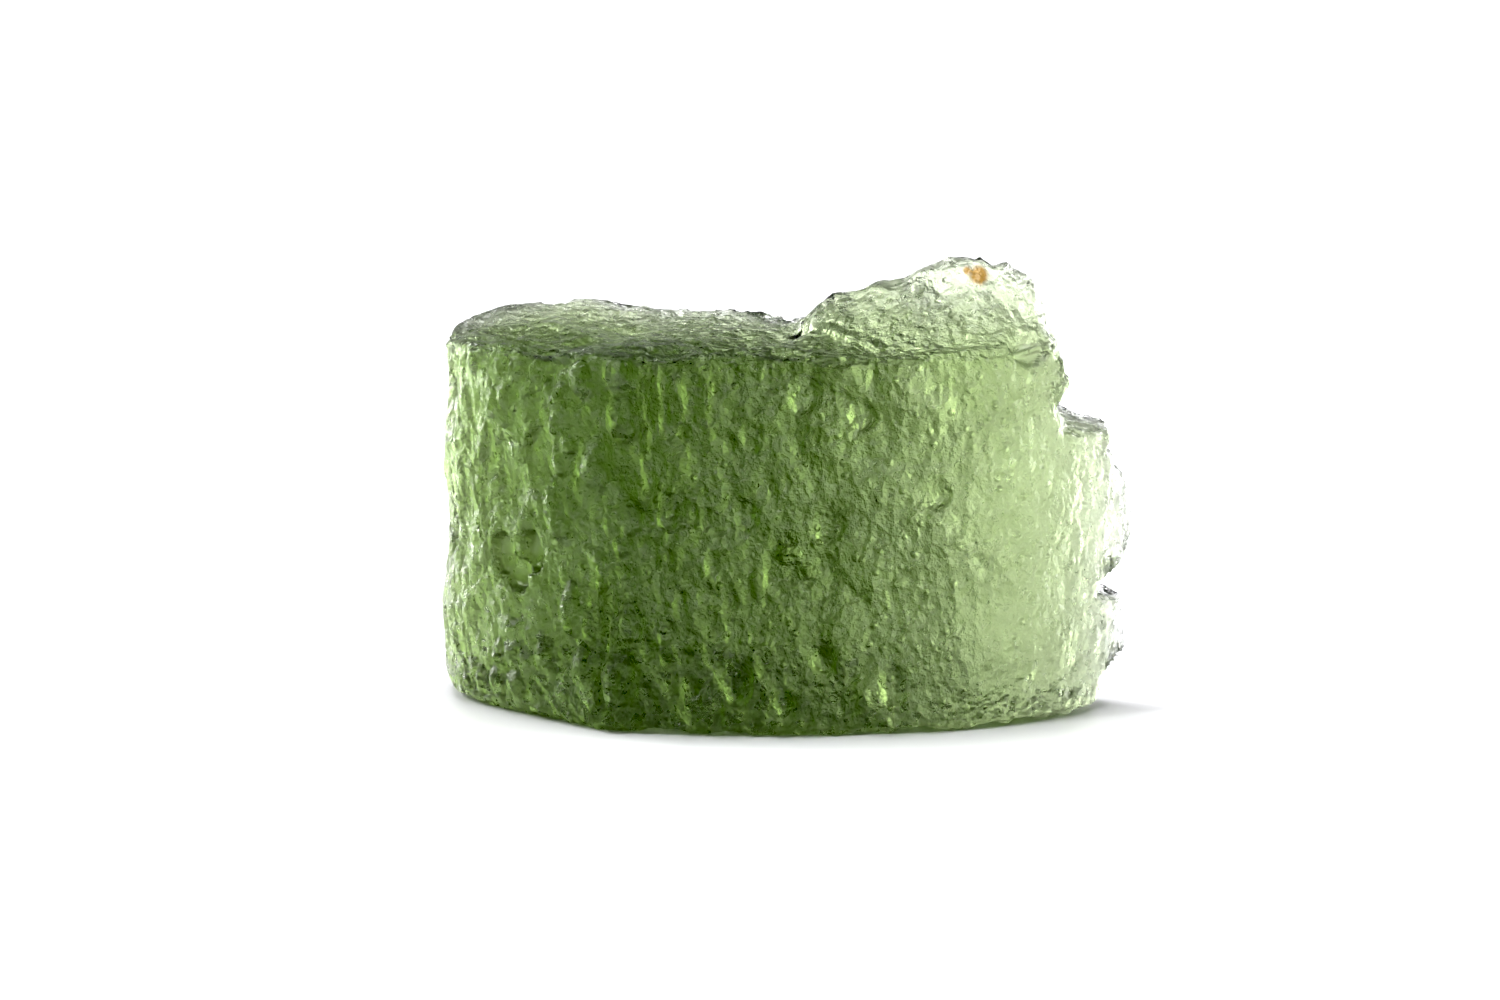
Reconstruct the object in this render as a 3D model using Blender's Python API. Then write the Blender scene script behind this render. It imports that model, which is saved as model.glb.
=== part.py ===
"""A moldavite: one drum-shaped piece of natural green glass, pitted all over, standing on its flat underside.

Sizes are in millimetres until the last step. +X runs to the thin broken end, -Y is the curved front, +Z is up.
The origin is under the middle of the stone, on the plane that it stands on.
"""

import bisect
import math

import bmesh
import bpy
from mathutils import Vector, noise

MM = 0.001
NAME = "moldavite"

# Driving dimensions
LEFT_REACH = 9.95  # from the plan's centre to the blunt left end
RIGHT_REACH = 10.4  # to the thin right end, before it is broken back
FRONT_REACH = 7.7
WALL_HEIGHT = 10.6  # from the underside to the front rim
HUB = (-1.2, -3.4)  # X and Y of the axis, inside the stone, that its rings are drawn round
GRID_CUTS = 28  # cuts along each edge of the cube that the stone grows from
FRONT_FINENESS = 0.5  # how much closer the grid's columns stand on the front than on the back

# How square the plan and the rims are: 2 is an ellipse, a large number is a box
LEFT_SQUARENESS = 2.8
RIGHT_SQUARENESS = 2.05
TOP_SQUARENESS = 24.0
BOTTOM_SQUARENESS = 26.0

# The broken back, from the left end to the right: X, Y at mid height. The stone is half as deep at the right, where
# the photo shows it half as dark
BACK_EDGE = (
    (-10.5, 1.4),
    (-8.6, 2.9),
    (-7.0, 3.6),
    (-5.6, 3.4),
    (-4.2, 2.7),
    (-2.8, 2.1),
    (-1.4, 1.0),
    (0.0, 0.1),
    (1.4, -0.6),
    (2.8, -1.4),
    (4.2, -2.0),
    (5.6, -2.1),
    (7.0, -2.0),
    (8.5, -2.3),
    (10.5, -2.8),
)
BACK_LEAN = 0.01  # how much further out it lies for each mm of height
# Flat breaks down the left end: the way each faces in plan, its distance from the centre at mid height, and its lean
SIDE_BREAKS = (
    (225.0, 9.1, 0.06),
    (128.0, 7.6, -0.06),
)
MID_HEIGHT = 5.0
BREAK_SOFTNESS = 0.25

# The thin right end, from the underside up: height, reach. Nicks, a ledge with a thin lip, then the broken-back face
RIGHT_EDGE = (
    (-1.0, 8.6),
    (0.5, 8.9),
    (1.05, 8.9),
    (1.75, 10.1),
    (2.3, 10.0),
    (3.05, 9.6),
    (3.6, 8.7),
    (3.85, 8.75),
    (4.25, 9.5),
    (4.8, 9.9),
    (5.4, 10.0),
    (6.4, 9.7),
    (7.2, 9.25),
    (7.75, 8.85),
    (8.25, 9.0),
    (8.5, 7.65),
    (9.2, 7.4),
    (9.9, 7.75),
    (10.5, 7.6),
    (11.6, 7.4),
    (12.2, 6.95),
    (12.8, 6.35),
    (13.5, 5.6),
)
EDGE_SOFTNESS = 0.08
EDGE_RISE = 0.16  # how much its nicks and ledges climb for each mm towards the back
EDGE_AT = (9.0, -3.1)  # X and Y of the middle of the thin end

# The lump on the right of the top face: X, height of its crest above the face
LUMP_CREST = (
    (-0.4, 0.0),
    (1.5, 1.35),
    (2.8, 1.85),
    (4.0, 2.3),
    (5.0, 2.45),
    (5.9, 2.1),
    (6.7, 1.75),
    (7.4, 0.65),
    (8.4, 0.3),
)
LUMP_FRONT = (-6.4, -2.7)  # Y where its front face starts, and where it reaches the crest
LUMP_BACK = (-3.0, -0.6)  # Y where it starts to fall away behind, and where that ends
LUMP_BACK_FALL = 0.55  # the share of its height lost there

# Shell-shaped scar on the lump's left shoulder: X, Y, half width, half length, depth
SCAR = (3.0, -2.6, 1.6, 1.1, 0.35)
# Broad forms of the top face: X, Y, half width, half length, height
TOP_FORMS = (
    (-6.2, 2.6, 2.8, 2.0, 0.42),
    (-1.4, 0.6, 1.8, 2.2, 0.4),
    (-8.2, 1.6, 1.2, 1.2, 0.25),
)

# Pits pressed into the front: X, height, width, height of the pit, depth
FRONT_PITS = (
    (-8.1, 4.55, 1.0, 1.6, 0.55),  # the heart's left lobe
    (-7.3, 4.75, 1.0, 1.5, 0.6),  # the heart's right lobe
    (-3.7, 7.1, 1.8, 1.9, 0.4),
    (6.7, 10.9, 1.5, 1.8, 0.4),  # the smooth scoop under the lump
    (4.0, 9.1, 1.2, 1.2, 0.2),
    (-3.75, 9.2, 0.9, 2.4, 0.4),  # the dark fissure
    (0.1, 5.0, 1.5, 1.2, 0.4),  # the dark crevice
    (-1.9, 4.6, 2.8, 2.4, 0.3),
    (-1.2, 9.0, 2.6, 2.0, 0.26),
    (2.2, 7.0, 2.6, 1.8, 0.22),
    (-7.0, 7.4, 1.3, 2.4, 0.4),
)
# Drops that stand proud of the front: X, height, width, height of the drop, how far it stands out
FRONT_DROPS = (
    (-4.7, 10.0, 1.0, 1.5, 0.3),
    (-4.6, 8.9, 1.1, 1.7, 0.34),
    (-2.7, 9.6, 0.8, 1.3, 0.28),
    (0.4, 9.5, 1.0, 1.2, 0.28),
    (-5.2, 7.6, 1.0, 1.9, 0.3),
    (-4.5, 6.1, 0.9, 1.1, 0.26),
    (-3.3, 6.0, 0.9, 1.1, 0.26),
    (1.0, 5.9, 1.2, 1.1, 0.22),
    (4.0, 6.7, 1.0, 1.0, 0.16),
    (-4.7, 1.5, 1.2, 1.7, 0.38),
    (-1.5, 1.5, 1.2, 1.5, 0.32),
    (-2.7, 0.8, 0.9, 1.1, 0.26),
    (-0.2, 0.8, 0.9, 1.1, 0.28),
    (2.8, 1.4, 0.8, 1.3, 0.26),
    (-6.4, 8.9, 0.8, 1.6, 0.3),
    (-6.5, 6.0, 0.8, 1.8, 0.3),
    (-6.2, 3.2, 0.9, 1.8, 0.3),
)

# Cup-shaped pits all over, drawn out down the walls: the size of a cell, its stretch and the depth
CUP_CELL = 1.5
CUP_STRETCH = 1.7
CUP_DEPTH = 0.5
CUP_CALM = 0.6  # the share of that depth lost on the smoother right of the wall
SWELL_LENGTH = 2.6  # gentle swells of the whole surface
SWELL_HEIGHT = 0.24
FOOT_CALM = 0.5  # the share of the relief lost at the foot of the walls
FOOT_HEIGHT = 1.4
RIM_CALM = 0.75  # the share lost along the rims of the top and the underside
FLAT_SPOT = (-1.2, -2.9, 6.2, 3.2)  # X, Y and half sizes of the part of the underside that is always flat
FLAT_LIMIT = 0.06  # what the relief leaves lower than this is ground flat


def smooth_step(low, high, value):
    t = min(max((value - low) / (high - low), 0.0), 1.0)
    return t * t * (3.0 - 2.0 * t)


def soft_least(a, b, softness):
    """The lesser of two values, with the corner between them rounded."""
    low, gap = min(a, b), abs(a - b) / softness
    return low - softness * math.log1p(math.exp(-gap)) if gap < 30.0 else low


def along(points, value):
    """The height at a value on the line through (value, height) points, level at each of them."""
    if value <= points[0][0]:
        return points[0][1]
    for (x0, y0), (x1, y1) in zip(points, points[1:]):
        if value <= x1:
            return y0 + (y1 - y0) * smooth_step(x0, x1, value)
    return points[-1][1]


def between(points, value):
    """The height at a value on the straight lines through (value, height) points."""
    for (x0, y0), (x1, y1) in zip(points, points[1:]):
        if value <= x1 or x1 == points[-1][0]:
            return y0 + (y1 - y0) * (value - x0) / (x1 - x0)


def outside(x, y):
    """More than 1 where a point of the plan lies outside the oval of the front and the two ends."""
    side = LEFT_REACH if x < 0.0 else RIGHT_REACH
    square = RIGHT_SQUARENESS + (LEFT_SQUARENESS - RIGHT_SQUARENESS) * smooth_step(2.4, -2.4, x)
    return abs(x / side) ** square + abs(min(y, 0.0) / FRONT_REACH) ** square


def first_out(is_out):
    """The shortest distance, up to 16 mm, at which a test of the distance turns true."""
    low, high = 0.0, 16.0
    for _ in range(22):
        middle = (low + high) / 2.0
        if is_out(middle):
            high = middle
        else:
            low = middle
    return low


def plan_reach(angle, height):
    """How far the stone reaches from its hub in a direction of the plan."""
    c, s = math.cos(angle), math.sin(angle)
    reach = first_out(lambda r: outside(HUB[0] + r * c, HUB[1] + r * s) > 1.0)
    if s > -0.3:
        lean = BACK_LEAN * (height - MID_HEIGHT)
        back = first_out(lambda r: HUB[1] + r * s > between(BACK_EDGE, HUB[0] + r * c) + lean)
        reach = soft_least(reach, back, BREAK_SOFTNESS)
    for facing, distance, lean in SIDE_BREAKS:
        towards = math.cos(angle - math.radians(facing))
        from_hub = distance - HUB[0] * math.cos(math.radians(facing)) - HUB[1] * math.sin(math.radians(facing))
        if towards > 0.05:
            reach = soft_least(reach, (from_hub + lean * (height - MID_HEIGHT)) / towards, BREAK_SOFTNESS)
    if c > 0.05:
        at_x, at_y = EDGE_AT
        level = height - EDGE_RISE * (HUB[1] + (at_x - HUB[0]) * s / c - at_y)
        reach = soft_least(reach, (along(RIGHT_EDGE, level) - HUB[0]) / c, EDGE_SOFTNESS)
    return reach


def wall_point(angle, height):
    reach = plan_reach(angle, height)
    return Vector((HUB[0] + reach * math.cos(angle), HUB[1] + reach * math.sin(angle), height))


def even_angles(count=720):
    """Directions from the hub that stand at even steps along the wall, closer together on the front."""
    angles = [math.tau * i / count for i in range(count + 1)]
    points = [wall_point(angle, MID_HEIGHT) for angle in angles]
    runs = [0.0]
    for a, b in zip(points, points[1:]):
        runs.append(runs[-1] + (b - a).length * (1.0 + FRONT_FINENESS * smooth_step(-1.0, -5.0, (a.y + b.y) / 2.0)))
    return [(run / runs[-1], angle) for run, angle in zip(runs, angles)]


def top_height(x, y):
    """The top face: a low dish with raised lips at the left, and the lump at the right."""
    height = WALL_HEIGHT
    for at_x, at_y, wide, long, rise in TOP_FORMS:
        height += rise * math.exp(-(((x - at_x) / wide) ** 2) - ((y - at_y) / long) ** 2)
    front = smooth_step(*LUMP_FRONT, y)
    back = 1.0 - LUMP_BACK_FALL * smooth_step(*LUMP_BACK, y)
    at_x, at_y, wide, long, depth = SCAR
    scar = max(1.0 - ((x - at_x) / wide) ** 2 - ((y - at_y) / long) ** 2, 0.0)
    return height + along(LUMP_CREST, x) * front * back - depth * scar


def turn_of(x, y):
    """The share of a whole turn, from 0 to 1, at which a point of the disc stands, even along the cube's sides."""
    angle = math.atan2(y, x) + math.pi / 4.0
    side, within = divmod(angle % math.tau, math.pi / 2.0)
    return (side + 0.5 + math.sin(within - math.pi / 4.0) / math.sqrt(2.0)) / 4.0 % 1.0


def shape_at(u, v, w, angles):
    """The stone's broad form for a point of the cube from -1 to 1."""
    x = u * math.sqrt(1.0 - v * v / 2.0)
    y = v * math.sqrt(1.0 - u * u / 2.0)
    ring = math.hypot(x, y)
    turn = turn_of(x, y)
    at = bisect.bisect_right(angles, (turn, 9.0))
    (run0, angle0), (run1, angle1) = angles[at - 1], angles[min(at, len(angles) - 1)]
    angle = angle0 + (angle1 - angle0) * (turn - run0) / max(run1 - run0, 1e-9)
    square = TOP_SQUARENESS if w > 0.0 else BOTTOM_SQUARENESS
    rounding = (max(ring, 1e-9) ** square + abs(w) ** square) ** (-1.0 / square)
    ring, share = ring * rounding, (w * rounding + 1.0) / 2.0
    rim = wall_point(angle, WALL_HEIGHT)
    reach = ring * plan_reach(angle, share * top_height(rim.x, rim.y))
    x, y = HUB[0] + reach * math.cos(angle), HUB[1] + reach * math.sin(angle)
    return Vector((x, y, share * top_height(x, y)))


def front_at(x, height):
    """The point of the front wall at this X and height."""
    low, high = math.pi, 2.0 * math.pi
    for _ in range(30):
        middle = (low + high) / 2.0
        if wall_point(middle, height).x < x:
            low = middle
        else:
            high = middle
    return wall_point(low, height)


def marks(listed):
    """Each listed mark with its place on the wall and its half sizes."""
    return [(front_at(x, z), wide / 2.0, tall / 2.0, depth) for x, z, wide, tall, depth in listed]


def nearness(point, centre, half_wide, half_tall):
    """1 at a mark's centre, 0 at its rim and below 0 outside."""
    gap = point - centre
    return 1.0 - (gap.x**2 + gap.y**2) / half_wide**2 - gap.z**2 / half_tall**2


def cup_depth(point, wall):
    """Cups that meet in sharp edges. Some cells are deep, and some are nearly smooth."""
    stretch = 1.0 + (CUP_STRETCH - 1.0) * wall
    (near, far, _, _), centres = noise.voronoi(Vector((point.x, point.y, point.z / stretch)) / CUP_CELL)
    chance = 0.5 + 0.5 * noise.noise(centres[0] * 7.3)
    return CUP_DEPTH * smooth_step(0.2, 0.75, chance) * (1.0 - (2.0 * near / (near + far)) ** 2)


def relief(point, normal, pits, drops):
    """How far the surface stands out, or in where it is below 0, at a point of the broad form."""
    wall = 1.0 - smooth_step(0.4, 0.9, abs(normal.z))
    pit = max(depth * max(nearness(point, *place), 0.0) ** 0.6 for *place, depth in pits)
    drop = max(height * max(nearness(point, *place), 0.0) for *place, height in drops)
    cups = cup_depth(point, wall) * (1.0 - CUP_CALM * smooth_step(1.5, 5.0, point.x) * wall)
    swell = SWELL_HEIGHT * noise.noise(point / SWELL_LENGTH)
    foot = 1.0 - FOOT_CALM * smooth_step(FOOT_HEIGHT, 0.0, point.z)
    rim = 1.0 - RIM_CALM * 4.0 * wall * (1.0 - wall)
    return (swell + drop - max(pit, cups)) * foot * rim


def stone_mesh():
    """A cube with a fine grid on each face, moved out to the broad form and then pitted."""
    bm = bmesh.new()
    bmesh.ops.create_cube(bm, size=2.0)
    bmesh.ops.subdivide_edges(bm, edges=bm.edges[:], cuts=GRID_CUTS, use_grid_fill=True)
    angles = even_angles()
    for vert in bm.verts:
        vert.co = shape_at(*vert.co, angles)
    bm.normal_update()
    pits, drops = marks(FRONT_PITS), marks(FRONT_DROPS)
    moves = [(vert, vert.normal * relief(vert.co, vert.normal, pits, drops)) for vert in bm.verts]
    for vert, move in moves:
        at_x, at_y, half_long, half_deep = FLAT_SPOT
        on_spot = ((vert.co.x - at_x) / half_long) ** 2 + ((vert.co.y - at_y) / half_deep) ** 2 < 1.0
        if not (vert.co.z < FLAT_LIMIT and on_spot):
            vert.co += move
        if vert.co.z < FLAT_LIMIT:
            vert.co.z = 0.0
    low = Vector([min(vert.co[axis] for vert in bm.verts) for axis in range(3)])
    high = Vector([max(vert.co[axis] for vert in bm.verts) for axis in range(3)])
    middle = (low + high) / 2.0
    bmesh.ops.translate(bm, verts=bm.verts, vec=(-middle.x, -middle.y, 0.0))
    bmesh.ops.scale(bm, verts=bm.verts, vec=(MM, MM, MM))
    mesh = bpy.data.meshes.new(NAME)
    bm.to_mesh(mesh)
    bm.free()
    mesh.shade_smooth()
    return mesh


def glass():
    """Bottle-green natural glass with a wet lustre."""
    material = bpy.data.materials.new("tektite_glass")
    material.use_nodes = True
    shader = material.node_tree.nodes["Principled BSDF"]
    shader.inputs["Base Color"].default_value = (0.23, 0.33, 0.12, 1.0)
    shader.inputs["Metallic"].default_value = 0.0
    shader.inputs["Roughness"].default_value = 0.18
    shader.inputs["IOR"].default_value = 1.49
    return material


def main():
    for left_over in list(bpy.data.objects):
        bpy.data.objects.remove(left_over)
    collection = bpy.data.collections.new(NAME)
    bpy.context.scene.collection.children.link(collection)
    stone = bpy.data.objects.new(NAME, stone_mesh())
    stone.data.materials.append(glass())
    collection.objects.link(stone)


main()
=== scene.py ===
# Moldavite: the looks of the stone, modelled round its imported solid.
# Sizes are in millimetres, and the last step of each piece turns them to metres.
import bisect
import math

import bmesh
import bpy
from mathutils import Matrix, Vector, noise


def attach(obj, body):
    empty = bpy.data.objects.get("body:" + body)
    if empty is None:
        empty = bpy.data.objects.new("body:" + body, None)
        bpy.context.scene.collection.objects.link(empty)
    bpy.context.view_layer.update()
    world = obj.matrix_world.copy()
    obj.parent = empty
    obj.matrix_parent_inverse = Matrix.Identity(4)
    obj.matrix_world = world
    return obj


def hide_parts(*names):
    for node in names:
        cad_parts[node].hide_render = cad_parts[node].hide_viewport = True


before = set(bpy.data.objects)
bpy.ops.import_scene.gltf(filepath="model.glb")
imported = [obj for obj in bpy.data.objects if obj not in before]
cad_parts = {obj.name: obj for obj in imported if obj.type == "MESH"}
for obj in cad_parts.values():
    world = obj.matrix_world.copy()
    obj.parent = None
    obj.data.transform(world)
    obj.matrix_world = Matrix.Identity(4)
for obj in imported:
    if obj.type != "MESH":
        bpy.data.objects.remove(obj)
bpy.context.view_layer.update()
mm = 0.001

# Broad form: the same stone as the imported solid
stoneForm = {
    "leftReach": 9.95,  # from the plan's centre to the blunt left end
    "rightReach": 10.4,  # to the thin right end, before it is broken back
    "frontReach": 7.7,
    "wallHeight": 10.6,  # from the underside to the front rim
    "hub": (-1.2, -3.4),  # X and Y of the axis, inside the stone, that its rings are drawn round
    "leftSquareness": 2.8,  # 2 is an ellipse, a large number is a box
    "rightSquareness": 2.05,
    "topSquareness": 24.0,
    "bottomSquareness": 26.0,
    "gridCuts": 127,  # cuts along each edge of the cube that the stone grows from
    "frontFineness": 0.5,  # how much closer the grid's columns stand on the front than on the back
    # the broken back, from the left end to the right: X, Y
    "backEdge": (
        (-10.5, 1.4), (-8.6, 2.9), (-7.0, 3.6), (-5.6, 3.4), (-4.2, 2.7),
        (-2.8, 2.1), (-1.4, 1.0), (0.0, 0.1), (1.4, -0.6), (2.8, -1.4),
        (4.2, -2.0), (5.6, -2.1), (7.0, -2.0), (8.5, -2.3), (10.5, -2.8),
    ),
    # flat breaks down the left end: facing in degrees, distance at mid height, lean per mm of height
    "sideBreaks": ((225, 9.1, 0.06), (128, 7.6, -0.06)),
    "midHeight": 5.0,
    "breakSoftness": 0.25,
    # thin right end, from the underside up: height, reach
    "rightEdge": (
        (-1.0, 8.6), (0.5, 8.9), (1.05, 8.9), (1.75, 10.1), (2.3, 10.0), (3.05, 9.6),
        (3.6, 8.7), (3.85, 8.75), (4.25, 9.5), (4.8, 9.9), (5.4, 10.0), (6.4, 9.7),
        (7.2, 9.25), (7.75, 8.85), (8.25, 9.0), (8.5, 7.65), (9.2, 7.4), (9.9, 7.75),
        (10.5, 7.6), (11.6, 7.4), (12.2, 6.95), (12.8, 6.35), (13.5, 5.6),
    ),
    "edgeSoftness": 0.08,
    "edgeRise": 0.16,  # how much its nicks and ledges climb per mm towards the back
    "edgeAt": (9.0, -3.1),
    # lump on the top face: X, height of its crest
    "lumpCrest": (
        (-0.4, 0.0), (1.5, 1.35), (2.8, 1.85), (4.0, 2.3), (5.0, 2.45), (5.9, 2.1), (6.7, 1.75), (7.4, 0.65),
        (8.4, 0.3),
    ),
    "lumpFront": (-6.4, -2.7),
    "lumpBack": (-3.0, -0.6),
    "lumpBackFall": 0.55,
    "scar": (3.0, -2.6, 1.6, 1.1, 0.35),  # X, Y, half width, half length, depth
    # broad forms of the top face: X, Y, half width, half length, height
    "topForms": ((-6.2, 2.6, 2.8, 2.0, 0.42), (-1.4, 0.6, 1.8, 2.2, 0.4), (-8.2, 1.6, 1.2, 1.2, 0.25)),
}

# Marks on the front: X, height, width, height of the mark, depth or how far it stands out
frontPits = (
    (-8.1, 4.6, 0.9, 1.4, 0.5),  # heart, left lobe
    (-7.25, 4.8, 0.9, 1.3, 0.55),  # heart, right lobe
    (-7.7, 4.1, 1.1, 1.1, 0.45),
    (-3.7, 7.1, 1.7, 1.8, 0.28),
    (6.7, 10.9, 1.5, 1.8, 0.4),  # smooth scoop under the lump
    (4.0, 9.1, 1.1, 1.1, 0.18),
    (-3.75, 9.6, 0.4, 1.7, 0.42),  # dark fissure
    (-4.0, 8.3, 0.35, 1.0, 0.36),
    (-0.1, 5.1, 0.9, 0.5, 0.3),  # dark crevices
    (0.5, 4.6, 0.6, 0.4, 0.26),
    (-0.9, 4.3, 0.5, 0.9, 0.34),
    (-1.9, 4.6, 2.6, 2.2, 0.2),
    (-1.2, 9.0, 2.4, 1.8, 0.18),
    (2.2, 7.0, 2.4, 1.6, 0.16),
    (-7.0, 7.4, 1.2, 2.2, 0.34),
    (-5.15, 3.2, 0.45, 2.4, 0.4),  # dark column
    (-5.25, 1.1, 0.4, 1.6, 0.4),
    (-3.2, 5.0, 0.35, 1.0, 0.34),
    (-2.6, 2.4, 0.7, 0.4, 0.32),
    (1.9, 5.6, 0.5, 0.3, 0.16),
    (3.0, 4.2, 0.6, 0.3, 0.16),
    (4.6, 5.3, 0.5, 0.3, 0.16),
    (4.9, 9.6, 0.35, 0.3, 0.22),
    (5.6, 9.1, 0.3, 0.3, 0.22),
    (7.85, 9.0, 0.7, 0.6, 0.35),
    (7.75, 9.7, 0.6, 0.6, 0.35),
    (7.6, 10.35, 0.5, 0.6, 0.3),
)
frontDrops = (
    (-4.7, 10.0, 0.9, 1.4, 0.42),
    (-4.6, 8.9, 1.0, 1.7, 0.5),
    (-2.7, 9.6, 0.7, 1.2, 0.38),
    (0.4, 9.5, 0.9, 1.1, 0.36),
    (-5.3, 7.6, 0.9, 1.8, 0.42),
    (-4.4, 6.1, 0.8, 1.0, 0.36),
    (-3.3, 6.2, 0.8, 1.2, 0.38),
    (-1.2, 6.2, 0.7, 1.0, 0.3),
    (1.0, 5.9, 1.1, 1.0, 0.3),
    (4.0, 6.7, 0.9, 0.9, 0.22),
    (2.0, 8.9, 0.8, 0.8, 0.22),
    (-4.7, 1.5, 1.1, 1.7, 0.48),
    (-4.4, 3.1, 0.8, 1.2, 0.34),
    (-1.5, 1.5, 1.0, 1.4, 0.42),
    (-2.7, 0.8, 0.8, 1.1, 0.34),
    (-0.2, 0.8, 0.8, 1.1, 0.36),
    (0.9, 2.2, 0.8, 1.0, 0.3),
    (2.8, 1.4, 0.8, 1.3, 0.34),
    (-6.4, 8.9, 0.7, 1.5, 0.38),
    (-5.8, 9.9, 0.6, 1.1, 0.34),
    (-6.5, 6.2, 0.7, 1.8, 0.38),
    (-6.1, 3.4, 0.7, 1.7, 0.38),
    (-5.7, 1.9, 0.6, 1.3, 0.34),
    (-3.8, 7.5, 0.7, 1.2, 0.3),
)

# Places etched more or less than the rest: X, height, half width, half height, how many times as much
etchedSpots = (
    (7.9, 9.5, 0.6, 1.4, 2.6),  # broken band at the right end
    (6.3, 12.4, 0.5, 0.6, 2.2),
    (7.2, 11.8, 0.4, 0.9, 2.0),
    (9.7, 5.5, 0.5, 1.6, 1.9),
    (-5.2, 2.2, 0.7, 2.4, 1.7),  # dark column
    (-3.9, 9.4, 0.4, 1.3, 2.0),
    (0.1, 5.0, 1.0, 0.8, 1.7),
)

# Specks of clay left in the skin: X, Y, height, size
claySpecks = (
    (5.3, -3.8, 12.4, 0.46),
    (4.98, -3.6, 12.5, 0.26),
    (-7.09, -5.2, 8.66, 0.22),
    (-6.42, -5.7, 5.23, 0.2),
)

# Sculpture of the skin, from the widest forms to the finest
skin = {
    "cupCell": 1.5,
    "cupStretch": 1.7,
    "cupDepth": 0.5,
    "cupCalm": 0.6,  # share of that depth lost on the smoother right of the wall
    "swellLength": 2.6,
    "swellHeight": 0.24,
    "footCalm": 0.5,  # share of the relief lost at the foot of the walls
    "footHeight": 1.4,
    "rimCalm": 0.75,  # share lost along the rims
    "flatSpot": (-1.2, -2.9, 6.2, 3.2),  # X, Y, half sizes: the part of the underside that is always flat
    "flatLimit": 0.06,  # all that lies lower than this is levelled
    "pitSides": 0.45,  # below 1 a pit has steep sides and a flat floor
    "dropSides": 0.7,
    "insideCalm": 0.85,  # share of the fine relief lost inside a burst bubble
    "wideBubble": (0.4, 0.4),  # depth and half width from which a pit counts as one
    "dropCell": 0.56,  # small drops that run down the walls
    "dropStretch": 1.6,
    "dropHeight": 0.25,
    "grainCell": 0.27,
    "grainHeight": 0.06,
    "furrowWidth": 0.2,  # furrows drawn down the left of the wall
    "furrowLength": 1.3,
    "furrowHeight": 0.03,
    "wrinkleWidth": 0.17,  # flow wrinkles on the right of the wall
    "wrinkleLength": 0.9,
    "wrinkleHeight": 0.08,
    "wrinkleTilt": 24,
}


def smoothStep(low, high, value):
    t = min(max((value - low) / (high - low), 0.0), 1.0)
    return t * t * (3 - 2 * t)


def softLeast(a, b, softness):
    low, gap = min(a, b), abs(a - b) / softness
    return low - softness * math.log1p(math.exp(-gap)) if gap < 30 else low


def along(points, value):
    if value <= points[0][0]:
        return points[0][1]
    for (x0, y0), (x1, y1) in zip(points, points[1:]):
        if value <= x1:
            return y0 + (y1 - y0) * smoothStep(x0, x1, value)
    return points[-1][1]


def between(points, value):
    for (x0, y0), (x1, y1) in zip(points, points[1:]):
        if value <= x1 or x1 == points[-1][0]:
            return y0 + (y1 - y0) * (value - x0) / (x1 - x0)


def outside(x, y, form=stoneForm):
    # more than 1 outside the oval of the front and the two ends
    side = form["leftReach"] if x < 0 else form["rightReach"]
    leftShare = smoothStep(2.4, -2.4, x)
    square = form["rightSquareness"] + (form["leftSquareness"] - form["rightSquareness"]) * leftShare
    return abs(x / side) ** square + abs(min(y, 0) / form["frontReach"]) ** square


def firstOut(isOut):
    low, high = 0.0, 16.0
    for step in range(22):
        middle = (low + high) / 2
        if isOut(middle):
            high = middle
        else:
            low = middle
    return low


def ovalReach(angle, form=stoneForm):
    # from the hub to the oval or the broken back, which are the same at every height
    (hubX, hubY), c, s = form["hub"], math.cos(angle), math.sin(angle)
    reach = firstOut(lambda r: outside(hubX + r * c, hubY + r * s) > 1)
    if s > -0.3:
        back = firstOut(lambda r: hubY + r * s > between(form["backEdge"], hubX + r * c))
        reach = softLeast(reach, back, form["breakSoftness"])
    return reach


ovalTable = [ovalReach(math.tau * step / 1440) for step in range(1441)]


def planReach(angle, height, form=stoneForm):
    (hubX, hubY), c, s = form["hub"], math.cos(angle), math.sin(angle)
    place = angle % math.tau / math.tau * 1440
    step = min(int(place), 1439)
    reach = ovalTable[step] + (ovalTable[step + 1] - ovalTable[step]) * (place - step)
    for facing, distance, lean in form["sideBreaks"]:
        turn = math.radians(facing)
        towards = math.cos(angle - turn)
        if towards > 0.05:
            away = distance - hubX * math.cos(turn) - hubY * math.sin(turn)
            away += lean * (height - form["midHeight"])
            reach = softLeast(reach, away / towards, form["breakSoftness"])
    if c > 0.05:
        atX, atY = form["edgeAt"]
        level = height - form["edgeRise"] * (hubY + (atX - hubX) * s / c - atY)
        reach = softLeast(reach, (along(form["rightEdge"], level) - hubX) / c, form["edgeSoftness"])
    return reach


def wallPoint(angle, height):
    reach = planReach(angle, height)
    hubX, hubY = stoneForm["hub"]
    return Vector((hubX + reach * math.cos(angle), hubY + reach * math.sin(angle), height))


def evenAngles(count=720, form=stoneForm):
    # directions from the hub that stand at even steps along the wall, closer together on the front
    angles = [math.tau * step / count for step in range(count + 1)]
    points = [wallPoint(angle, form["midHeight"]) for angle in angles]
    runs = [0.0]
    for a, b in zip(points, points[1:]):
        weight = 1 + form["frontFineness"] * smoothStep(-1, -5, (a.y + b.y) / 2)
        runs.append(runs[-1] + (b - a).length * weight)
    return [(run / runs[-1], angle) for run, angle in zip(runs, angles)]


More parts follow.
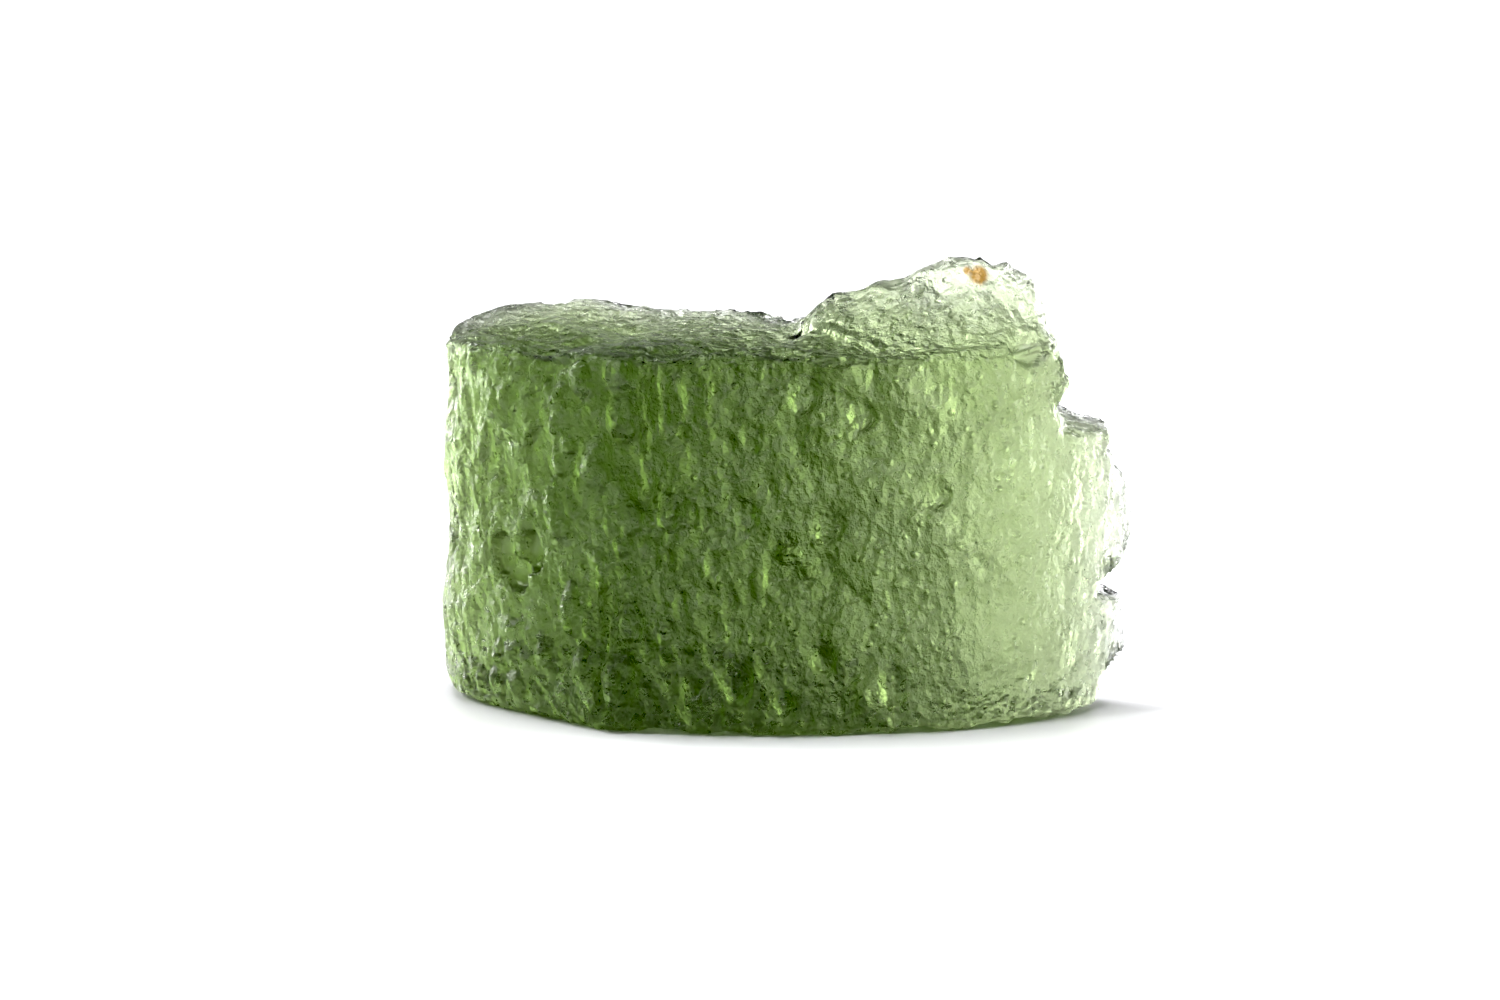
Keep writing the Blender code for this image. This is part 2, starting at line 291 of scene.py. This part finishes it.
def topHeight(x, y, form=stoneForm):
    height = form["wallHeight"]
    for atX, atY, wide, long, rise in form["topForms"]:
        height += rise * math.exp(-(((x - atX) / wide) ** 2) - ((y - atY) / long) ** 2)
    front = smoothStep(*form["lumpFront"], y)
    back = 1 - form["lumpBackFall"] * smoothStep(*form["lumpBack"], y)
    atX, atY, wide, long, depth = form["scar"]
    scar = max(1 - ((x - atX) / wide) ** 2 - ((y - atY) / long) ** 2, 0)
    return height + along(form["lumpCrest"], x) * front * back - depth * scar


def turnOf(x, y):
    # the share of a whole turn at which a point of the disc stands, even along the cube's sides
    side, within = divmod((math.atan2(y, x) + math.pi / 4) % math.tau, math.pi / 2)
    return (side + 0.5 + math.sin(within - math.pi / 4) / math.sqrt(2)) / 4 % 1


def shapeAt(u, v, w, angles, form=stoneForm):
    # the broad form, for a point of the cube from -1 to 1
    x = u * math.sqrt(1 - v * v / 2)
    y = v * math.sqrt(1 - u * u / 2)
    ring, turn = math.hypot(x, y), turnOf(x, y)
    at = bisect.bisect_right(angles, (turn, 9.0))
    (run0, angle0), (run1, angle1) = angles[at - 1], angles[min(at, len(angles) - 1)]
    angle = angle0 + (angle1 - angle0) * (turn - run0) / max(run1 - run0, 1e-9)
    square = form["topSquareness"] if w > 0 else form["bottomSquareness"]
    rounding = (max(ring, 1e-9) ** square + abs(w) ** square) ** (-1 / square)
    ring, share = ring * rounding, (w * rounding + 1) / 2
    rim = wallPoint(angle, form["wallHeight"])
    reach = ring * planReach(angle, share * topHeight(rim.x, rim.y))
    x, y = form["hub"][0] + reach * math.cos(angle), form["hub"][1] + reach * math.sin(angle)
    return Vector((x, y, share * topHeight(x, y)))


def frontAt(x, height):
    low, high = math.pi, 2 * math.pi
    for step in range(30):
        middle = (low + high) / 2
        if wallPoint(middle, height).x < x:
            low = middle
        else:
            high = middle
    return wallPoint(low, height)


def placed(marks):
    # each mark with its place on the wall and its half sizes
    return [(frontAt(x, z), wide / 2, tall / 2, depth) for x, z, wide, tall, depth in marks]


def nearness(point, centre, halfWide, halfTall):
    gap = point - centre
    return 1 - (gap.x**2 + gap.y**2) / halfWide**2 - gap.z**2 / halfTall**2


def insideCalmPit(point, pits):
    # the wide and deep pits are burst bubbles, which are smooth inside
    leastDepth, leastHalf = skin["wideBubble"]
    bubbles = [place for *place, depth in pits if depth >= leastDepth and place[1] > leastHalf]
    return smoothStep(0.05, 0.4, max(nearness(point, *place) for place in bubbles))


def cells(point, cell, stretch):
    # 1 in the middle of a cell and 0 on its border, with a chance from 0 to 1 for the cell
    (near, far, third, fourth), centres = noise.voronoi(Vector((point.x, point.y, point.z / stretch)) / cell)
    return 1 - (2 * near / (near + far)) ** 2, 0.5 + 0.5 * noise.noise(centres[0] * 7.3)


def streaks(point, width, length, tilt):
    # lines along a slanted direction of the wall, bent and broken up
    c, s = math.cos(math.radians(tilt)), math.sin(math.radians(tilt))
    run, rise = point.x * c + point.z * s, point.z * c - point.x * s
    bend = 0.3 * noise.noise(Vector((point.x / 1.7, 3.1, point.z / 1.7)))
    return noise.noise(Vector((run / length, point.y / length, (rise + bend) / width)))


def relief(point, normal, pits, drops):
    wall = 1 - smoothStep(0.4, 0.9, abs(normal.z))
    pit = max(depth * max(nearness(point, *place), 0) ** skin["pitSides"] for *place, depth in pits)
    inside = insideCalmPit(point, pits)
    drop = max(height * max(nearness(point, *place), 0) ** skin["dropSides"] for *place, height in drops)
    right = smoothStep(1.5, 5.0, point.x) * wall
    bowl, chance = cells(point, skin["cupCell"], 1 + (skin["cupStretch"] - 1) * wall)
    cups = skin["cupDepth"] * smoothStep(0.2, 0.75, chance) * bowl * (1 - skin["cupCalm"] * right)
    swell = skin["swellHeight"] * noise.noise(point / skin["swellLength"])
    foot = 1 - skin["footCalm"] * smoothStep(skin["footHeight"], 0, point.z)
    rim = 1 - skin["rimCalm"] * 4 * wall * (1 - wall)
    height = (swell + drop - max(pit, cups * (1 - inside))) * foot * rim

    # drops that run down the wall, coarse on the left, and grains all over
    coarse = wall * (1 - smoothStep(-2.5, 2.0, point.x - 0.5 * (3 - min(point.z, 3))))
    blunt = 1 - 0.7 * smoothStep(-8.7, -9.5, point.x)
    dome, chance = cells(point + Vector((31, 17, 5)), skin["dropCell"], 1 + (skin["dropStretch"] - 1) * wall)
    fine = skin["dropHeight"] * dome * smoothStep(0.25, 0.6, chance) * (0.2 + 0.8 * coarse) * rim * blunt
    grain, chance = cells(point + Vector((7, 41, 23)), skin["grainCell"], 1.2)
    fine -= skin["grainHeight"] * grain * smoothStep(0.2, 0.7, chance) * (1 - 0.6 * right)
    furrowed = wall * smoothStep(-3.0, -5.5, point.x)
    fine += skin["furrowHeight"] * furrowed * streaks(point, skin["furrowWidth"], skin["furrowLength"], 82)
    patch = smoothStep(-0.1, 0.3, noise.noise(point / 2.1 + Vector((9, 9, 9))))
    patch = smoothStep(-1.5, 1.5, point.x) * wall * patch
    fine += skin["wrinkleHeight"] * patch * streaks(
        point, skin["wrinkleWidth"], skin["wrinkleLength"], skin["wrinkleTilt"]
    )
    return height + fine * (1 - skin["insideCalm"] * inside)


def stoneMesh():
    bm = bmesh.new()
    bmesh.ops.create_cube(bm, size=2)
    bmesh.ops.subdivide_edges(bm, edges=bm.edges[:], cuts=stoneForm["gridCuts"], use_grid_fill=True)
    angles = evenAngles()
    for vert in bm.verts:
        vert.co = shapeAt(*vert.co, angles)
    bm.normal_update()
    pits, drops = placed(frontPits), placed(frontDrops)
    moves = [vert.normal * relief(vert.co, vert.normal, pits, drops) for vert in bm.verts]
    atX, atY, halfLong, halfDeep = skin["flatSpot"]
    scarX, scarY, scarWide, scarLong = stoneForm["scar"][:4]
    etch = bm.verts.layers.float.new("etch")
    clay = bm.verts.layers.float.new("clay")
    for vert in bm.verts:
        inScar = 1 - ((vert.co.x - scarX) / scarWide) ** 2 - ((vert.co.y - scarY) / scarLong) ** 2
        inPit = insideCalmPit(vert.co, pits)
        top = smoothStep(0.3, 0.8, vert.normal.z)
        onLump = smoothStep(11.0, 11.8, vert.co.z) * smoothStep(0, 1, vert.co.x)
        right = smoothStep(1, 6, vert.co.x) * smoothStep(0, -4, vert.co.y)
        calm = max(0.9 * max(inPit, smoothStep(0, 0.4, inScar * onLump)), 0.25 * right, 0.4 * onLump)
        vert[etch] = (1 + 0.5 * top * (1 - onLump)) * (1 - calm)
        for x, z, halfWide, halfTall, times in etchedSpots:
            near = 1 - ((vert.co.x - x) / halfWide) ** 2 - ((vert.co.z - z) / halfTall) ** 2
            vert[etch] += (times - 1) * smoothStep(0, 0.6, near) * (1 - calm)
    for vert, move in zip(bm.verts, moves):
        onSpot = ((vert.co.x - atX) / halfLong) ** 2 + ((vert.co.y - atY) / halfDeep) ** 2 < 1
        if not (vert.co.z < skin["flatLimit"] and onSpot):
            vert.co += move
        if vert.co.z < skin["flatLimit"]:
            vert.co.z = 0
        gaps = [
            math.hypot(vert.co.x - x, vert.co.z - z, 0.3 * (vert.co.y - y)) * 2 / size
            for x, y, z, size in claySpecks
        ]
        vert[clay] = smoothStep(1.5, 0.8, min(gaps))
    low = [min(vert.co[axis] for vert in bm.verts) for axis in range(3)]
    high = [max(vert.co[axis] for vert in bm.verts) for axis in range(3)]
    shift = Vector((-(low[0] + high[0]) / 2, -(low[1] + high[1]) / 2, 0))
    bmesh.ops.translate(bm, verts=bm.verts, vec=shift)
    bmesh.ops.scale(bm, verts=bm.verts, vec=(mm, mm, mm))
    mesh = bpy.data.meshes.new("moldaviteStone")
    bm.to_mesh(mesh)
    bm.free()
    mesh.shade_smooth()
    return mesh, shift


def linear(code):
    # an sRGB hex value as the linear colour that the shaders read
    parts = [int(code[at : at + 2], 16) / 255 for at in (0, 2, 4)]
    return tuple(c / 12.92 if c <= 0.04045 else ((c + 0.055) / 1.055) ** 2.4 for c in parts) + (1,)


def addNode(tree, kind, links=(), values=(), **settings):
    newNode = tree.nodes.new(kind)
    for name, value in settings.items():
        setattr(newNode, name, value)
    for socket, value in dict(values).items():
        newNode.inputs[socket].default_value = value
    for socket, source in dict(links).items():
        tree.links.new(source, newNode.inputs[socket])
    return newNode


# Tektite glass, quenched in flight and etched in the soil:
# it gives a clear green body under a finely pitted skin
glass = {
    "ior": 1.49,
    "roughness": (0.24, 0.31),
    "absorption": (214, 167, 312),  # per metre, for red, green and blue
    "density": 500,
    "grain": 0.17,  # mm
    "grainHeight": 0.12,  # mm
    "scale": 0.36,  # mm
    "scaleHeight": 0.15,  # mm
    "scaleSquash": 0.6,  # below 1 the scales stand taller than wide
    "pinhole": 0.5,  # mm from one to the next
    "pinholeReach": (0.08, 0.24),  # its floor and its rim, as shares of that
    "pinholeDepth": 0.11,  # mm
    "frostPerMm": 3.0,  # patches of rougher skin
    "frostRange": (0.35, 0.5),
    "clayColour": "cdaa62",
}


def tektiteGlass():
    material = bpy.data.materials.new("tektiteGlass")
    material.use_nodes = True
    tree = material.node_tree
    shader = tree.nodes["Principled BSDF"]
    shader.inputs["IOR"].default_value = glass["ior"]
    shader.inputs["Base Color"].default_value = linear("ffffff")
    shader.inputs["Roughness"].default_value = sum(glass["roughness"]) / 2
    shader.inputs["Transmission Weight"].default_value = 1.0
    place = addNode(tree, "ShaderNodeTexCoord")
    inMm = addNode(tree, "ShaderNodeMapping", {"Vector": place.outputs["Object"]}, {"Scale": (1 / mm,) * 3})
    grain = addNode(
        tree,
        "ShaderNodeTexNoise",
        {"Vector": inMm.outputs[0]},
        {"Scale": 1 / glass["grain"], "Detail": 2.0},
    )
    clay = addNode(tree, "ShaderNodeAttribute", attribute_name="clay")
    tint = addNode(
        tree,
        "ShaderNodeMix",
        {0: clay.outputs["Fac"]},
        {6: linear("ffffff"), 7: linear(glass["clayColour"])},
        data_type="RGBA",
    )
    clear = addNode(tree, "ShaderNodeMath", {1: clay.outputs["Fac"]}, {0: 1.0}, operation="SUBTRACT")
    tree.links.new(tint.outputs[2], shader.inputs["Base Color"])
    tree.links.new(clear.outputs[0], shader.inputs["Transmission Weight"])
    etch = addNode(tree, "ShaderNodeAttribute", attribute_name="etch")

    def sized(source):
        # a height times the etching of the place
        links = {0: source, 1: etch.outputs["Fac"]}
        return addNode(tree, "ShaderNodeMath", links, operation="MULTIPLY").outputs[0]

    patches = addNode(
        tree,
        "ShaderNodeTexNoise",
        {"Vector": inMm.outputs[0]},
        {"Scale": glass["frostPerMm"], "Detail": 2.0},
    )
    low, high = glass["roughness"]
    least, most = glass["frostRange"]
    frost = addNode(
        tree,
        "ShaderNodeMapRange",
        {"Value": patches.outputs["Fac"]},
        {"From Min": least, "From Max": most, "To Min": low, "To Max": high},
    )
    tree.links.new(frost.outputs["Result"], shader.inputs["Roughness"])
    squash = (1, 1, glass["scaleSquash"])
    scaled = addNode(tree, "ShaderNodeMapping", {"Vector": inMm.outputs[0]}, {"Scale": squash})
    scales = addNode(
        tree,
        "ShaderNodeTexVoronoi",
        {"Vector": scaled.outputs[0]},
        {"Scale": 1 / glass["scale"]},
        feature="F1",
    )
    scaleBump = addNode(
        tree,
        "ShaderNodeBump",
        {"Height": sized(scales.outputs["Distance"])},
        {"Strength": 1.0, "Distance": glass["scaleHeight"] * mm},
        invert=True,
    )
    holes = addNode(
        tree,
        "ShaderNodeTexVoronoi",
        {"Vector": inMm.outputs[0]},
        {"Scale": 1 / glass["pinhole"]},
        feature="F1",
    )
    holeFloor, holeRim = glass["pinholeReach"]
    holeShape = addNode(
        tree,
        "ShaderNodeMapRange",
        {"Value": holes.outputs["Distance"]},
        {"From Min": holeFloor, "From Max": holeRim},
        interpolation_type="SMOOTHSTEP",
    )
    holeBump = addNode(
        tree,
        "ShaderNodeBump",
        {"Height": sized(holeShape.outputs["Result"]), "Normal": scaleBump.outputs[0]},
        {"Strength": 1.0, "Distance": glass["pinholeDepth"] * mm},
    )
    bump = addNode(
        tree,
        "ShaderNodeBump",
        {"Height": sized(grain.outputs["Fac"]), "Normal": holeBump.outputs[0]},
        {"Strength": 1.0, "Distance": glass["grainHeight"] * mm},
    )
    tree.links.new(bump.outputs[0], shader.inputs["Normal"])
    color = tuple(1 - a / glass["density"] for a in glass["absorption"]) + (1,)
    body = addNode(tree, "ShaderNodeVolumeAbsorption", (), {"Color": color, "Density": glass["density"]})
    tree.links.new(body.outputs[0], tree.nodes["Material Output"].inputs["Volume"])
    return material


mesh, stoneShift = stoneMesh()
stone = bpy.data.objects.new("moldaviteGlass", mesh)
bpy.context.scene.collection.objects.link(stone)
mesh.materials.append(tektiteGlass())
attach(stone, "root")
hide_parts("moldavite")
print("stone", len(mesh.polygons), "faces")

# Studio: a white sheet, softboxes behind and above the stone, one small key lamp, pools of light
# on the sheet around it, and a dark camera side
studio = {
    "floorRadius": 180,  # mm
    "floorColour": "f2f2f5",
    "floorDepth": 0.03,  # mm that the sheet lies under the stone, so that the two faces never share a plane
    "floorGloss": 0.3,
    "floorRoughness": 0.3,
    "backBrightness": 0.8,
    "frontBrightness": 0.15,
    "frontToBack": (0.1, 0.95),  # between these values of the direction's Y it goes from one to the other
    "highBrightness": 0.2,  # share of that brightness that is left higher up
    "lowToHigh": (0.15, 0.4),  # between these values of the direction's Z
    "seenBrightness": 1.05,
    "spotRadius": 8,  # mm
    "highestAim": 50,  # mm, the highest point over the stone that a soft light is turned to
}


def floorMaterial():
    # white acrylic sheet, cast and polished: a pale surface with a faint reflection
    material = bpy.data.materials.new("whiteAcrylic")
    material.use_nodes = True
    shader = material.node_tree.nodes["Principled BSDF"]
    shader.inputs["Base Color"].default_value = linear(studio["floorColour"])
    shader.inputs["Roughness"].default_value = studio["floorRoughness"]
    shader.inputs["Specular IOR Level"].default_value = studio["floorGloss"]
    return material


bm = bmesh.new()
bmesh.ops.create_circle(bm, cap_ends=True, segments=96, radius=studio["floorRadius"] * mm)
bmesh.ops.translate(bm, verts=bm.verts, vec=(0, 0, -studio["floorDepth"] * mm))
floorMesh = bpy.data.meshes.new("floor")
bm.to_mesh(floorMesh)
bm.free()
floor = bpy.data.objects.new("floor", floorMesh)
floorMesh.materials.append(floorMaterial())
bpy.context.scene.collection.objects.link(floor)

world = bpy.data.worlds.new("studio")
bpy.context.scene.world = world
world.use_nodes = True
sky = world.node_tree
direction = addNode(sky, "ShaderNodeTexCoord")
split = addNode(sky, "ShaderNodeSeparateXYZ", {"Vector": direction.outputs["Generated"]})
front, back = studio["frontToBack"]
low, high = studio["lowToHigh"]
around = addNode(
    sky,
    "ShaderNodeMapRange",
    {"Value": split.outputs["Y"]},
    {
        "From Min": front,
        "From Max": back,
        "To Min": studio["frontBrightness"],
        "To Max": studio["backBrightness"],
    },
    interpolation_type="SMOOTHSTEP",
)
height = addNode(
    sky,
    "ShaderNodeMapRange",
    {"Value": split.outputs["Z"]},
    {"From Min": low, "From Max": high, "To Min": 1.0, "To Max": studio["highBrightness"]},
)
both = addNode(
    sky,
    "ShaderNodeMath",
    {0: around.outputs["Result"], 1: height.outputs["Result"]},
    operation="MULTIPLY",
)
seen = addNode(sky, "ShaderNodeLightPath")
strength = addNode(
    sky,
    "ShaderNodeMix",
    {0: seen.outputs["Is Camera Ray"], 2: both.outputs[0]},
    {3: studio["seenBrightness"]},
)
sky.links.new(strength.outputs[0], sky.nodes["Background"].inputs["Strength"])
sky.nodes["Background"].inputs["Color"].default_value = linear("ffffff")

softLights = (
    # name, place in mm, width and height in mm, brightness as a number of times white
    ("backLeftSoftbox", (-192, 161, 45), (100, 90), 10.0),
    ("highLeftSoftbox", (-210, 90, 160), (110, 110), 8.0),
    ("backRightSoftbox", (190, 160, 45), (230, 90), 6.0),
    ("topSoftbox", (0, 60, 400), (280, 280), 5.0),
    ("keyLamp", (-220, -120, 260), (24, 24), 150.0),
)
floorLights = (
    # name, place and aim in mm, cone in degrees, brightness of its pool on the sheet
    ("backLeftPool", (-60, 60, 300), (-46, 26, 0), 10, 2.5),
    ("backRightPool", (60, 70, 300), (44, 37, 0), 13, 4.6),
    ("backPool", (0, 160, 300), (8, 50, 0), 12, 0.7),
    ("frontPool", (0, -140, 280), (0, -45, 0), 15, 3.2),
)


def aimed(light, place, aim):
    lamp = bpy.data.objects.new(light.name, light)
    lamp.location = Vector(place) * mm
    lamp.rotation_euler = (Vector(aim) * mm - lamp.location).to_track_quat("-Z", "Y").to_euler()
    lamp.visible_camera = False
    bpy.context.scene.collection.objects.link(lamp)


for name, place, (wide, tall), brightness in softLights:
    light = bpy.data.lights.new(name, "AREA")
    light.shape = "RECTANGLE"
    light.size, light.size_y = wide * mm, tall * mm
    light.energy = brightness * math.pi * light.size * light.size_y
    aimed(light, place, (0, 0, min(place[2], studio["highestAim"])))
for name, place, aim, cone, brightness in floorLights:
    light = bpy.data.lights.new(name, "SPOT")
    light.shadow_soft_size = studio["spotRadius"] * mm
    light.spot_size, light.spot_blend = math.radians(cone), 1.0
    light.energy = brightness * (2 * math.pi * (Vector(place) - Vector(aim)).length * mm) ** 2
    aimed(light, place, aim)
print("studio")

# Camera: a long lens close to the stone, 9 degrees above it
view = {"lens": 100, "sensor": 36, "elevation": 9, "distance": 122, "target": (-1.13, 0.0, 5.4)}
lens = bpy.data.cameras.new("camera")
lens.lens = view["lens"]
lens.sensor_width = view["sensor"]
lens.clip_start = 0.005
camera = bpy.data.objects.new("camera", lens)
tilt = math.radians(view["elevation"])
target = (Vector(view["target"]) + stoneShift) * mm
camera.matrix_world = Matrix.Translation(
    target + Vector((0, -math.cos(tilt), math.sin(tilt))) * view["distance"] * mm
) @ Matrix.Rotation(math.radians(90) - tilt, 4, "X")
bpy.context.scene.collection.objects.link(camera)
bpy.context.scene.camera = camera
shown = bpy.context.scene.view_settings
shown.view_transform = "Standard"
shown.use_curve_mapping = True
shown.exposure = 0.48
shown.gamma = 0.8
shown.curve_mapping.black_level = (0.022, 0.022, 0.022)  # the photograph's deep blacks
shown.curve_mapping.update()

cycles = bpy.context.scene.cycles
cycles.max_bounces = 12
cycles.transmission_bounces = 12
cycles.glossy_bounces = 8
cycles.diffuse_bounces = 3
cycles.caustics_refractive = True
cycles.caustics_reflective = True
print("camera")
